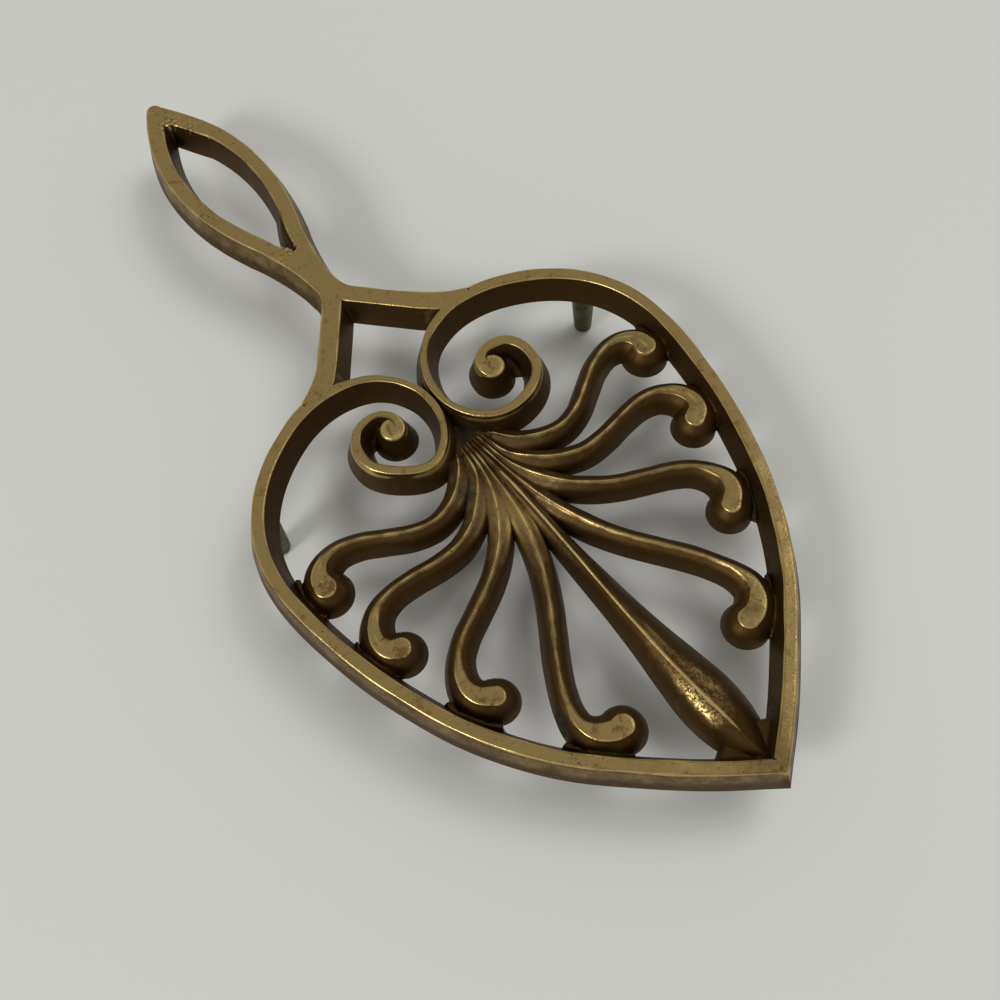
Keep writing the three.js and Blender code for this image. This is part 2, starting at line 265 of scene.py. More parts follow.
# Four leaves fan out from the root to each side. Part of the same casting: each is a ridge with
# hollow flanks at the root, rounder further out, and ends in a flat-topped curl.
LEAF_HEIGHT = 5.8
ROOT_HEIGHT = 4.6
LEAF_FOOT = 2.6
LEAF_FLARE = 1.2
END_SIDES = 40
LEAVES = [
    [[4.6, 100.6, 0.3], [6.8, 97, 0.35], [10.2, 93.5, 0.4], [14, 91.2, 0.45], [19, 90.2, 0.5],
     [24.5, 91.6, 0.5], [30, 94.8, 0.5], [35.3, 97.9, 0.55], [40.5, 99.3, 0.7],
     [44.6, 98.4, 1.2], [47, 95.8, 2.1], [47.3, 93.2, 2.6]],
    [[2.9, 101, 0.3], [4.5, 93.4, 0.35], [8.2, 88.4, 0.4], [13, 84.3, 0.45],
     [18.4, 82.1, 0.5], [24.5, 82, 0.5], [31, 82.9, 0.5], [36.8, 83.1, 0.55],
     [41.4, 81.8, 0.8], [44.6, 78.8, 1.3], [45.8, 75.2, 1.7], [44.8, 72.4, 2.1],
     [42.8, 71.2, 2.3]],
    [[1.9, 101.2, 0.3], [2.8, 93, 0.35], [4.3, 87.6, 0.4], [7, 82.3, 0.45], [10.4, 77.6, 0.45],
     [14.6, 73.7, 0.5], [19.4, 70.5, 0.5], [24.8, 67.8, 0.5], [30, 65.2, 0.5],
     [34.1, 62.2, 0.6], [36.6, 58.6, 1], [37.4, 55.2, 1.5], [36.4, 52.2, 1.9],
     [33.8, 50, 2.2]],
    [[0.8, 101.6, 0.3], [1.6, 91, 0.35], [2.3, 84.5, 0.4], [3.4, 78.6, 0.45], [5.2, 72.4, 0.5],
     [7.6, 66.2, 0.5], [10.8, 60.2, 0.5], [14.7, 54.2, 0.5], [18.6, 48.4, 0.5],
     [21.8, 42.8, 0.5], [23.8, 37.8, 0.7], [24.2, 33.8, 1.2], [22.6, 30.6, 1.8],
     [19.8, 28.7, 2.2], [17.8, 28.4, 2.4]],
]


def leaf_section(half, share):
    """Half of a leaf's section, blended from three: hollow flanks near the root, a rounded ridge
    further out, and a flat top with crisp edges where the leaf widens to its curl."""
    height = ROOT_HEIGHT + (LEAF_HEIGHT - ROOT_HEIGHT) * smoothstep(share, 0, 0.3)
    height = height * (0.72 + 0.28 * smoothstep(share, 0, 0.03))
    base = LEAF_FOOT + LEAF_FLARE * half
    shoulder = half + 0.62 * (base - half)
    hollow = rows_of([
        [base, 0], [base - 0.2, 0.4 * height], [base - 0.6, height - 2.1],
        [2.0, height - 1.6], [1.35, height - 1.25], [0.8, height - 0.86],
        [0.36, height - 0.42], [0.12, height - 0.05], [0, height],
    ], half.shape)
    ridge = rows_of([
        [base, 0], [0.5 * base + 0.5 * shoulder, 0.42 * height], [shoulder, height - 2.0],
        [0.74 * shoulder + 0.26 * half, height - 1.25],
        [0.45 * shoulder + 0.55 * half, height - 0.78], [half + 0.1, height - 0.4],
        [0.7 * half, height - 0.16], [0.25 * half, height - 0.01], [0, height],
    ], half.shape)
    flat = rows_of([
        [base, 0], [0.6 * base + 0.4 * shoulder, 0.35 * height], [shoulder, height - 2.0],
        [0.45 * shoulder + 0.55 * half, height - 0.95], [half + 0.12, height - 0.42],
        [half - 0.04, height - 0.1], [half - 0.35, height], [0.4 * half, height + 0.02],
        [0, height + 0.03],
    ], half.shape)
    outer = smoothstep(share, 0.12, 0.42)[:, None, None]
    curl = smoothstep(half, 0.6, 1.3)[:, None, None]
    blend = hollow + (ridge - hollow) * outer
    return cut_corners(blend + (flat - blend) * curl)


def round_end(end, section):
    """The section at the last place of a strip, turned round that place, so that the strip ends
    in a half circle."""
    profile = section(np.array([end[2]]), np.array([1.0]))[0]
    profile = np.vstack([profile[:-1], [[CENTRE_RADIUS, profile[-1, 1]]]])
    return turned(end[:2], profile, END_SIDES)


for side in (1, -1):
    for leaf in LEAVES:
        line = mirrored(leaf, side)
        casting_parts.append(strip(line, leaf_section))
        casting_parts.append(round_end(line[-1], leaf_section))


# Low metal fills the valleys between the leaves near the root, and joins each curl to the rim.
# Both were left in the pattern so that the brass would run into the thin leaves when it was cast.
WEB_REACH = 5.9
WEB_FLOOR = 3.5
WEB_FALL = 2.5
BANK_FLOOR = 2.7
BANK_FALL = 0.2
BANK_REACH = [
    # for each curl: towards the point of the heart, towards the lobe
    [11, 10.8], [10.3, 9.6], [10.8, 9.6], [10.3, 9.6],
]
RIM_STEP = 0.5
CURL_STEP = 0.4
CURL_PLACES = 60
MIDDLE_LINE = [[0, 99, 0.3], [0, 80, 0.3], [0, 60, 0.3]]


def web_between(first, second):
    """Rows from one ridge line to the next at equal lengths from the root, until the leaves are
    too far apart. A row is a shallow valley, deeper as the leaves part: its floor plus the rise
    times the square of the place across."""
    a, b = (along_curve(line, STEP)[0][:, :2] for line in (first, second))
    count = min(len(a), len(b))
    apart = np.linalg.norm(a[:count] - b[:count], axis=1)
    count = int(np.argmax(apart > WEB_REACH))
    a, b = a[:count], b[:count]
    share = (apart[:count] / WEB_REACH)[:, None]
    floor = WEB_FLOOR - WEB_FALL * smoothstep(share, 0.15, 1)
    over = np.linspace(-1, 1, 13)
    across = (a[:, None] + b[:, None]) / 2 + over[:, None] * (b - a)[:, None] / 2
    top = floor + (0.7 + 0.6 * share) * over**2
    level = np.concatenate([0 * floor, top, 0 * floor], axis=1)
    across = np.concatenate([across[:, :1], across, across[:, -1:]], axis=1)
    return tube(np.concatenate([across, level[:, :, None]], axis=2))


def bank(leaf, reach):
    """Rows from the rim's line to the nearest point of the curl's line, wherever the two are
    closer than the reach. A row is a shallow valley: its floor plus the square of the place
    across, and it falls by a share, BANK_FALL, as the two lines part."""
    curl = along_curve(leaf, CURL_STEP)[0][-CURL_PLACES:, :2]
    apart = np.linalg.norm(rim_line[:, None] - curl, axis=2)
    nearest = apart.min(axis=1)
    reach = np.where(np.arange(len(rim_line)) < nearest.argmin(), *reach)
    close = nearest < reach
    a, b = rim_line[close], curl[apart.argmin(axis=1)][close]
    over = np.linspace(-1, 1, 15)
    across = (a[:, None] + b[:, None]) / 2 + over[:, None] * (b - a)[:, None] / 2
    fall = 1 - BANK_FALL * smoothstep(nearest[close] / reach[close], 0.6, 1)
    level = fall[:, None, None] * (BANK_FLOOR + over[:, None] ** 2)
    rows = np.concatenate([across, level], axis=2)
    ends = rows[:, [0, -1]] * [1, 1, 0]
    return np.concatenate([ends[:, :1], rows, ends[:, 1:]], axis=1)


rim_line = along_curve(RIM, RIM_STEP)[0][:, :2]
ridges = [*LEAVES, MIDDLE_LINE]
for side in (1, -1):
    for first, second in zip(ridges[:-1], ridges[1:]):
        pair = [mirrored(line, side) for line in (first, second)]
        casting_parts.append(web_between(*(pair if side < 0 else pair[::-1])))
    for leaf, reach in zip(LEAVES, BANK_REACH):
        rows = bank(leaf, reach) * [side, 1, 1]
        casting_parts.append(tube(rows if side < 0 else rows[::-1]))


# The middle leaf is a long spine with a broad head, and ends in the point of the heart.
# Part of the same casting. Its crest was filed by hand and swings to the left over the head, and
# two low fillets, one on each side of its end, close the point of the heart.
MIDDLE_STEP = 0.6
FILLET_STEP = 0.4
POINT_FILLET_DRAFT = 0.9
POINT_FILLET_TOP = 2.6
POINT_FILLETS = [
    [[1.7, 9.9, 3], [3.7, 8.6, 2.9], [5.6, 7.6, 2.9], [7.1, 7, 3]],
    [[-2.6, 10.3, 3], [-4.6, 9.1, 2.9], [-6.1, 8.4, 2.9], [-7.8, 7.5, 3]],
]
MIDDLE_LEAF = [
    # along, swing of the crest, half widths of crest, shoulder and base, height
    [101.6, 0, 0.25, 0.7, 1.2, 4.0], [88, 0, 0.3, 1, 1.6, 5.8], [76, -0.1, 0.3, 1.4, 2.4, 6.2],
    [62, -0.5, 0.3, 1.7, 3.2, 6.2], [50, -1, 0.3, 2, 3.9, 6.2], [40, -1.3, 0.3, 2.6, 4.8, 6.3],
    [31, -1.5, 0.28, 3.4, 6, 6.6], [23, -1.4, 0.28, 4.1, 6.9, 6.8], [17, -1, 0.25, 3.9, 6.7, 6.5],
    [12, -0.5, 0.25, 2.9, 5.7, 5.4], [7, 0, 0.2, 1.5, 4.2, 3.9], [3.5, 0, 0.2, 0.8, 2.4, 3.2],
]


def middle_leaf(step):
    """Rows across the heart, each up the left flank, over the crest and down the right flank.

    Between two places each size follows the cubic that leaves the first and meets the second
    with the mean slopes there: at w of the way it is (1 + 2w)(1 - w)^2 of the first size,
    w^2(3 - 2w) of the second, w(1 - w)^2 of the first slope and w^2(w - 1) of the second.
    """
    rows = np.array(MIDDLE_LEAF, float)
    share = np.linspace(0, len(rows) - 1, int((rows[0, 0] - rows[-1, 0]) / step))
    slopes = np.gradient(rows, axis=0)
    k = np.minimum(share.astype(int), len(rows) - 2)
    w = (share - k)[:, None]
    first, leave = (1 + 2 * w) * (1 - w) ** 2, w * (1 - w) ** 2
    second, arrive = w**2 * (3 - 2 * w), w**2 * (w - 1)
    eased = first * rows[k] + leave * slopes[k] + second * rows[k + 1] + arrive * slopes[k + 1]
    along, swing, crest, shoulder, base, height = eased.T
    left = swing / 2 - shoulder
    right = swing / 2 + shoulder
    points = [
        [-base, 0 * height], [-0.7 * base + 0.3 * left, 0.3 * height],
        [-0.2 * base + 0.8 * left, 0.62 * height], [0.8 * left + 0.2 * swing, 0.82 * height],
        [0.4 * left + 0.6 * swing, 0.925 * height], [swing - 0.7 * crest, 0.99 * height],
        [swing, height], [swing + 0.7 * crest, 0.985 * height],
        [0.4 * right + 0.6 * swing, 0.915 * height], [0.8 * right + 0.2 * swing, 0.81 * height],
        [0.2 * base + 0.8 * right, 0.62 * height], [0.7 * base + 0.3 * right, 0.3 * height],
        [base, 0 * height],
    ]
    profile = cut_corners(rows_of(points, height.shape))
    level = np.broadcast_to(along[:, None], profile.shape[:2])
    return tube(np.stack([profile[:, :, 0], level, profile[:, :, 1]], axis=-1))


def flat_section(draft, top=CASTING_HEIGHT):
    """The section of a strip that has a flat top and the same draft all along."""
    return lambda half, share: flat_top(half, draft, top)


casting_parts.append(middle_leaf(MIDDLE_STEP))
point_section = flat_section(POINT_FILLET_DRAFT, POINT_FILLET_TOP)
for line in POINT_FILLETS:
    casting_parts.append(strip(line, point_section, FILLET_STEP))


# A low web fills the angle between the two rings and the root of the palmette, cast with them.
# The sand was rough there and no file reaches in, so its top is lumpy.
ROOT_WEB = [
    # along, half width, height
    [113, 0.6, 1.5], [107, 3.4, 1.7], [102, 6.6, 1.9], [97, 8.4, 2.1], [93, 8, 2.1],
]
ROOT_WEB_SPREAD = 0.8
LUMP_HEIGHT = 0.28


def root_web():
    """Rows across the heart: up a short wall, over a lumpy web, and down again. The lumps are a
    sum of products of sines across and along."""
    along = np.linspace(ROOT_WEB[0][0], ROOT_WEB[-1][0], 30)
    drawn = np.array(ROOT_WEB, float)[::-1].T
    half, height = (np.interp(along, drawn[0], row) for row in drawn[1:])
    across = np.linspace(-1, 1, 25) * half[:, None]
    lumps = np.sin(2.1 * across + 0.7) * np.sin(1.7 * along[:, None] + 1.9)
    lumps = lumps + 0.6 * np.sin(3.7 * across + 1.1) * np.sin(3.1 * along[:, None])
    top = height[:, None] + LUMP_HEIGHT * lumps
    foot = half[:, None] + ROOT_WEB_SPREAD
    across = np.concatenate([-foot, across, foot], axis=1)
    level = np.concatenate([0 * foot, top, 0 * foot], axis=1)
    ahead = np.broadcast_to(along[:, None], across.shape)
    return tube(np.stack([across, ahead, level], axis=-1))


casting_parts.append(root_web())


# The handle is a pair of strands that part at a neck and meet again in a point, and two arms that
# run out from the neck to the lobes. Part of the same casting.
HANDLE_DRAFT = 1.6
STRAND = [
    [0.9, 152.5, 1.2], [1.35, 158, 1.6], [1.5, 163, 1.75], [2.3, 169, 1.85],
    [4.3, 177.4, 1.95], [6.3, 183.2, 1.95], [8.3, 190.4, 1.95], [9.6, 197.8, 1.95],
    [10, 205, 1.95], [9.6, 212, 2], [8.4, 218.6, 2.05], [6.6, 224.3, 2.1], [4, 230.4, 2.2],
    [0, 237.6, 2.2],
]
ARM = [
    [0, 155.9, 2.6], [1.9, 153.2, 2.4], [5.8, 148.5, 2.4], [10.9, 142.5, 2.4],
    [15.1, 137.8, 2.5], [19, 134.6, 2.6], [24.5, 132.8, 1.4],
]
NECK = [[0, 153.5, 3.1], [0, 160, 2.8], [0, 167, 3.2], [0, 172, 2.4]]
TIP = [0.2, 238, 2]
# Metal left in the corners of the neck and at both ends of the loop: its height and its line.
FILLETS = [
    (CASTING_HEIGHT, [
        [1.6, 162.5, 1.1], [1.5, 158.5, 1.5], [1.9, 156, 1.5], [2.9, 153.4, 1.5],
        [5.3, 150.5, 1.2],
    ]),
    (CASTING_HEIGHT, [
        [-1.6, 162.5, 1.1], [-1.4, 158.5, 1.5], [-1.8, 155.7, 1.5], [-3, 153, 1.5],
        [-5.4, 150.3, 1.2],
    ]),
    (CASTING_HEIGHT, [[-3.4, 173, 1.9], [-2, 173.8, 2], [-0.9, 174.5, 2]]),
    (5.2, [[0.6, 171, 1.2], [2, 176, 1.3], [3.5, 181, 1.3], [6.2, 187.5, 0.7]]),
    (CASTING_HEIGHT, [
        [0.7, 234, 1.2], [3, 229.8, 1.6], [5.7, 223.9, 1.6], [8.1, 218.1, 1.35],
        [9.2, 211, 0.8],
    ]),
    (CASTING_HEIGHT, [[-1.8, 232.4, 1.2], [0.3, 232.6, 1.8], [2.2, 231.6, 1.2]]),
]

handle_section = flat_section(HANDLE_DRAFT)
for side in (1, -1):
    casting_parts.append(strip(mirrored(STRAND, side), handle_section))
    casting_parts.append(strip(mirrored(ARM, side), flat_section(RIM_DRAFT)))
casting_parts.append(strip(NECK, handle_section))
for top, line in FILLETS:
    casting_parts.append(strip(line, flat_section(HANDLE_DRAFT, top), FILLET_STEP))
casting_parts.append(round_end(TIP, handle_section))


# The whole casting came out of the sand in one piece, so the strips above are joined into one body
# with soft inner corners, and then leaned and set where the CAD node stands.
FOOT_LENGTH = 15
HANDLE_LEAN = np.radians(1.9)
POINT_LEAN = 0.8
POINT_LEAN_REACH = 70
HALF_CENTRE = [15, 85]
LOBE_TOP = 132.7
# Smoothing starts at the first height and is full at the second, so the underside stays flat.
UNDERSIDE = (0.4, 1.2)
SPREAD_ROUNDS = 3
CORNER_ROUNDS = 6
FILL_ROUNDS = 24
ROUNDS_PER_NORMAL = 4
BY_RIM_TO = 104
SHARP_ANGLE = np.radians(42)
SEED = 11
WAVES = 24
WAVE_LENGTHS = (7, 18)
WAVE_HEIGHT = 0.018
NUGGET_HEIGHT = 0.14
# Each row of a list of soft patches: place across and along, reach across and along, strength.
NUGGETS = [[1.2, 231.2, 3.2, 2.4, 1], [-0.8, 173.6, 2.6, 2.2, 1], [4.6, 226, 2, 2, 0.6]]
ROUNDED = [
    [0, 157, 8, 6, 1], [0, 176, 5, 5, 1], [0, 233, 5, 5, 1], [0, 9, 13, 9, 1],
    [-18, 138, 7, 5, 0.8], [18, 138, 7, 5, 0.8], [0, 138, 9, 9, 0.5],
]


def joined(parts, name):
    """One body that encloses all the closed parts, made with Boolean unions."""
    objects = []
    for number, (points, faces) in enumerate(parts):
        mesh = bpy.data.meshes.new(f"{name}_{number}")
        mesh.from_pydata(points.tolist(), [], faces)
        objects.append(bpy.data.objects.new(mesh.name, mesh))
        bpy.context.scene.collection.objects.link(objects[-1])
    whole = objects[0]
    for other in objects[1:]:
        union = whole.modifiers.new(other.name, "BOOLEAN")
        union.operation = "UNION"
        union.solver = "MANIFOLD"
        union.object = other
    graph = bpy.context.evaluated_depsgraph_get()
    mesh = bpy.data.meshes.new_from_object(whole.evaluated_get(graph))
    for thing in objects:
        bpy.data.objects.remove(thing)
    mesh.name = name
    mesh.materials.clear()
    return mesh


def patches(points, spots):
    """The largest of some soft round patches at each point: the strength of a patch times e to
    the minus square of the distance from its place, counted in its reaches."""
    across, along, wide, long, strength = np.array(spots, float).T
    far = ((points[:, :1] - across) / wide) ** 2 + ((points[:, 1:2] - along) / long) ** 2
    return (strength * np.exp(-far)).max(axis=1)


def points_of(mesh):
    """The mesh's points as rows of three numbers."""
    flat = np.empty(3 * len(mesh.vertices), np.float64)
    mesh.vertices.foreach_get("co", flat)
    return flat.reshape(-1, 3)


def ends_of_edges(mesh):
    """The two point numbers of each edge."""
    flat = np.empty(2 * len(mesh.edges), np.int64)
    mesh.edges.foreach_get("vertices", flat)
    return flat.reshape(-1, 2)


def normals_of(mesh):
    """The direction in which the surface faces at each point."""
    flat = np.empty(3 * len(mesh.vertices), np.float64)
    mesh.vertex_normals.foreach_get("vector", flat)
    return flat.reshape(-1, 3)


def mean_of_neighbours(values, edges):
    """For each point, the mean of the values at the other ends of its edges."""
    size = len(values)
    count = np.bincount(edges.ravel(), minlength=size)
    total = np.stack([
        np.bincount(edges[:, 0], column[edges[:, 1]], size)
        + np.bincount(edges[:, 1], column[edges[:, 0]], size)
        for column in values.reshape(size, -1).T
    ], axis=1)
    return (total / np.maximum(count, 1)[:, None]).reshape(values.shape)


casting_mesh = joined(casting_parts, "casting")
place = points_of(casting_mesh)
edges = ends_of_edges(casting_mesh)

# Inner corners: where a point lies well below the mean of its neighbours along its normal, it and
# its surroundings are drawn towards that mean.
sunk = np.einsum("ij,ij->i", mean_of_neighbours(place, edges) - place, normals_of(casting_mesh))
weight = smoothstep(sunk, 0.03, 0.12)
for _ in range(SPREAD_ROUNDS):
    weight = np.maximum(weight, 0.8 * mean_of_neighbours(weight, edges))
weight *= smoothstep(place[:, 2], *UNDERSIDE)
for _ in range(CORNER_ROUNDS):
    place += 0.6 * weight[:, None] * (mean_of_neighbours(place, edges) - place)

# Wider inner corners at the neck, in the loop, in the point and along the rim: hollow places are
# filled in rounds, each time drawing them on towards their neighbours, flat on the underside.
# How far a point lies past the rim's line is told from a place in the middle of its half of the
# heart: its distance from there, less the rim's in the same direction.
rim_from_centre = rim_line - HALF_CENTRE
rim_angle = np.arctan2(rim_from_centre[:, 1], rim_from_centre[:, 0])
from_centre = np.stack([np.abs(place[:, 0]), place[:, 1]], axis=1) - HALF_CENTRE
angle = np.arctan2(from_centre[:, 1], from_centre[:, 0])
rim_radius = np.interp(angle, rim_angle, np.linalg.norm(rim_from_centre, axis=1))
past_rim = np.linalg.norm(from_centre, axis=1) - rim_radius
by_rim = smoothstep(past_rim, -8.5, -6) * (1 - smoothstep(past_rim, -1.8, -1.2))
soft = np.maximum(patches(place, ROUNDED), 0.9 * by_rim * (place[:, 1] < BY_RIM_TO))
for turn in range(FILL_ROUNDS):
    if turn % ROUNDS_PER_NORMAL == 0:
        casting_mesh.vertices.foreach_set("co", place.ravel())
        casting_mesh.update()
        normal = normals_of(casting_mesh)
    pull = mean_of_neighbours(place, edges) - place
    sunk = np.einsum("ij,ij->i", pull, normal)
    pull[:, 2] *= smoothstep(place[:, 2], *UNDERSIDE)
    place += 0.7 * (soft * smoothstep(sunk, 0.03, 0.06))[:, None] * pull

# The top was filed flat after casting, so nothing stands above the rim.
place[:, 2] = np.minimum(place[:, 2], CASTING_HEIGHT)

# Handwork: the file left the surfaces a little uneven, which is a sum of waves that run every way,
# and sand burnt on at both ends of the loop left small nuggets.
rng = np.random.default_rng(SEED)
waves = rng.normal(size=(WAVES, 3))
lengths = rng.uniform(*WAVE_LENGTHS, WAVES)
waves *= (2 * np.pi / lengths / np.linalg.norm(waves, axis=1))[:, None]
phases = rng.uniform(0, 2 * np.pi, WAVES)
uneven = np.sin(place @ waves.T + phases).sum(axis=1) * WAVE_HEIGHT
lumpy = np.sin(3.1 * place[:, 0] + 1) * np.sin(2.7 * place[:, 1]) + np.sin(4.3 * place[:, 1] + 2)
uneven += NUGGET_HEIGHT * lumpy * patches(place, NUGGETS)
casting_mesh.vertices.foreach_set("co", place.ravel())
casting_mesh.update()
place += (uneven * smoothstep(place[:, 2], 0.2, 1.0))[:, None] * normals_of(casting_mesh)

# The finished casting leans a little at both ends, and its middle goes to the CAD node's middle.
drawn = place.copy()
near_point = np.maximum(0, 1 - place[:, 1] / POINT_LEAN_REACH) ** 2
past_lobes = np.maximum(0, place[:, 1] - LOBE_TOP)
place[:, 0] += POINT_LEAN * near_point - np.tan(HANDLE_LEAN) * past_lobes

node_low, node_high = (np.array(corner) * 1000 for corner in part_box("trivet_casting"))
middle = (node_low + node_high - place.min(axis=0) - place.max(axis=0)) / 2
place[:, :2] += middle[:2]
place[:, 2] += FOOT_LENGTH
casting_mesh.vertices.foreach_set("co", (place / 1000).ravel())
casting_mesh.update()
casting_mesh.polygons.foreach_set("use_smooth", np.ones(len(casting_mesh.polygons), bool))
casting_mesh.set_sharp_from_angle(angle=SHARP_ANGLE)


# Old brass. Where hands and cloths reach, it is bright: flat tops, crests, edges and outer walls,
# and the broad head of the middle leaf. Crests and edges also carry painted highlight lines.
# Elsewhere it has gone brown, and green where damp stayed. Painted shade darkens the hollows and
# the low parts of the inner walls, and the flutes of the root are painted paler and made duller.
TARNISH = "4f3a1a"
CLEAN_BRASS = "baa067"
# Rubbed brass is also the colour of the painted highlight lines on crests and edges.
RUBBED_BRASS_AND_HIGHLIGHT = "dcc07c"
PIT = "2f220f"
STAIN = "74481c"
VERDIGRIS = "1b1e14"
HANDLE_START = LOBE_TOP + 3
NEAR_ROUNDS = 3
BROAD_ROUNDS = 21
# Crests are rubbed, with a painted highlight line, within these distances of their line, and those
# of the side leaves only near the root, past these places along.
CREST_EDGE = (0.1, 0.4)
CREST_SHARP = (66, 76)
CREST_STEP = 0.8
# How strong each kind of wear, dirt, painted shade and painted highlight is.
SLOPE_BARE = 0.42
BAND_BARE_AND_HIGHLIGHT = 0.62
OUTER_BARE = 0.36
FAN_LIGHT_BARE = 0.55
CREST_WORN_AND_HIGHLIGHT = 0.9
LOW_DIRT_AND_SHADE = 0.6
OUTER_WIPED_AND_OPEN = 0.9
# Soft patches of the surface, as rows of place across and along, reach across and along, strength.
BROWN = [
    [-0.5, 18, 7, 22, 0.75], [-0.5, 48, 4, 20, 0.5], [20, 30.5, 5, 5, 0.4], [36, 52, 5, 6, 0.25],
    [44, 74.5, 5, 6, 0.3], [46, 94.5, 5, 6, 0.4],
]
ETCHED = [[-2.4, 22, 3.0, 9, 1.0], [1.6, 25, 2.6, 10, 0.9], [22.4, 32.6, 3.4, 4, 0.6]]
PITTED = [
    [1.8, 235.5, 1.5, 2.5, 1], [1, 174.2, 2, 2.5, 1], [-3, 172, 1.5, 4, 0.6], [0, 103, 6, 4, 0.8],
    [-30.4, 28.9, 2, 2, 1], [16, 126, 2, 1.5, 0.7], [-9, 196, 2.5, 6, 0.5], [-20, 134, 4, 2, 0.6],
]
# Painted light on the fan of the root: a pale, dull patch, stronger on the left side, away from the
# brighter right lamp.
PAINTED_LIGHT_ON_FAN = [[-5, 82, 9, 16, 0.95], [5, 86, 7, 12, 0.4]]
STAINED = [
    [-46.7, 94.7, 4, 5, 1], [-44.5, 73.4, 4, 5, 1], [-34.7, 51.7, 5, 4, 1],
    [-19.4, 29.2, 5, 4, 0.8], [-13, 113, 4, 4, 1], [15, 113, 4, 4, 0.8], [22, 32, 5, 5, 0.6],
]
GREEN = [
    [0.2, 104.4, 4.5, 3.0, 0.9], [-9.2, 90.5, 2.6, 3.4, 1.0], [-11.2, 86, 2.2, 3.0, 0.8],
    [-27.6, 39.3, 3.0, 7.0, 0.9], [-22.9, 26, 5.0, 2.5, 0.7], [38.5, 47.5, 3.0, 4.0, 0.8],
    [47, 64, 2.5, 4.0, 0.5], [9.1, 15.5, 2.2, 5.0, 0.8],
]

# How far each point stands out from its near and its broad surroundings, how high it lies, which
# way it faces, and whether it is on a wall that faces outwards.
normal = normals_of(casting_mesh)
near = drawn.copy()
for _ in range(NEAR_ROUNDS):
    near = mean_of_neighbours(near, edges)
broad = near.copy()
for _ in range(BROAD_ROUNDS):
    broad = mean_of_neighbours(broad, edges)
depth = np.einsum("ij,ij->i", broad - drawn, normal)
edge_lift = np.einsum("ij,ij->i", drawn - near, normal)
along = drawn[:, 1]
rise = drawn[:, 2] / CASTING_HEIGHT
facing_up = normal[:, 2]
outer = smoothstep(past_rim, 0.8, 2.2) * (along < HANDLE_START)
on_handle = (along > HANDLE_START) * smoothstep(normal[:, 0] * np.sign(drawn[:, 0]), 0, 0.5)
outer = np.maximum(outer, on_handle) * smoothstep(rise, 0.0, 0.5)

# Worn is rubbed metal and painted highlight lines on edges and crests, and bare is clean metal on
# tops and outer walls.
painted_light_on_fan = patches(drawn, PAINTED_LIGHT_ON_FAN)
brown = patches(drawn, BROWN)
high_up = smoothstep(rise, 0.755, 0.79)
worn_and_highlight = smoothstep(edge_lift, 0.01, 0.07)
worn_and_highlight *= np.maximum(high_up * (1 - brown), painted_light_on_fan * smoothstep(rise, 0.4, 0.6))
# A painted highlight line, partly real rubbing, runs along the middle leaf's crest.
swing = np.interp(along, *np.array(MIDDLE_LEAF, float)[::-1, :2].T)
on_middle = smoothstep(along, 10, 16) * (along < 90) * (rise > 0.55)
crest = 1 - smoothstep(np.abs(drawn[:, 0] - swing), *CREST_EDGE)
worn_and_highlight = np.maximum(worn_and_highlight, on_middle * crest)
bare = SLOPE_BARE * smoothstep(facing_up, 0.7, 0.95)
bare = np.maximum(bare, smoothstep(facing_up, 0.965, 0.995)) * high_up * (1 - brown)
# Each side leaf gets a crest line and a golden band over its top: rubbed metal and painted
# highlight.
for leaf in LEAVES:
    line = along_curve(leaf, CREST_STEP)[0]
    for side in (1, -1):
        apart = np.linalg.norm(drawn[:, None, :2] - line[:, :2] * [side, 1], axis=2)
        band = 1 - smoothstep(apart - line[:, 2], -0.1, 0.35)
        crest = CREST_WORN_AND_HIGHLIGHT * (1 - smoothstep(apart.min(axis=1), *CREST_EDGE))
        crest *= smoothstep(along, *CREST_SHARP)
        worn_and_highlight = np.maximum(worn_and_highlight, crest * smoothstep(rise, 0.4, 0.5))
        bare = np.maximum(bare, BAND_BARE_AND_HIGHLIGHT * band.max(axis=1) * smoothstep(rise, 0.6, 0.7))
bare = np.maximum(bare, OUTER_BARE * outer)
# The fan of the root is painted paler here.
bare = bare + FAN_LIGHT_BARE * painted_light_on_fan * smoothstep(rise, 0.3, 0.5) * (rise < 0.76)
# Painted shade, partly real dirt: darker in hollows and low on the inner walls, where the parts
# shade each other; the outer walls are mostly spared.
low_dirt_and_shade = LOW_DIRT_AND_SHADE * (1 - smoothstep(rise, 0.1, 0.7)) * (1 - OUTER_WIPED_AND_OPEN * outer)
grime_and_shade = smoothstep(depth, 0.0, 0.6) + low_dirt_and_shade
layers = {
    "bare": bare,
    "worn_and_highlight": worn_and_highlight,
    "grime_and_shade": grime_and_shade * (1 - painted_light_on_fan),
    "green": patches(drawn, GREEN) * (1 - smoothstep(rise, 0.62, 0.85)),
    "etched": patches(drawn, ETCHED) * (rise > 0.6),
    "pitted": patches(drawn, PITTED),
    "stained": patches(drawn, STAINED),
    "painted_light_on_fan": painted_light_on_fan,
}
for name, values in layers.items():
    layer = casting_mesh.attributes.new(name, "FLOAT", "POINT")
    layer.data.foreach_set("value", np.clip(values, 0, 1).astype(np.float32))


def linear(colour):
    """An sRGB colour such as 8f7b45 as linear red, green, blue and an alpha of 1."""
    parts = np.array([int(colour[i:i + 2], 16) / 255 for i in (0, 2, 4)])
    curve = np.where(parts <= 0.04045, parts / 12.92, ((parts + 0.055) / 1.055) ** 2.4)
    return (*curve.tolist(), 1.0)


def add_node(tree, kind, values=None, **settings):
    """Adds a node, sets its properties, and gives each input, told by its name or number, a
    value or a link."""
    node = tree.nodes.new(kind)
    for key, value in settings.items():
        setattr(node, key, value)
    for key, value in (values or {}).items():
        if isinstance(value, bpy.types.NodeSocket):
            tree.links.new(value, node.inputs[key])
        else:
            node.inputs[key].default_value = value
    return node


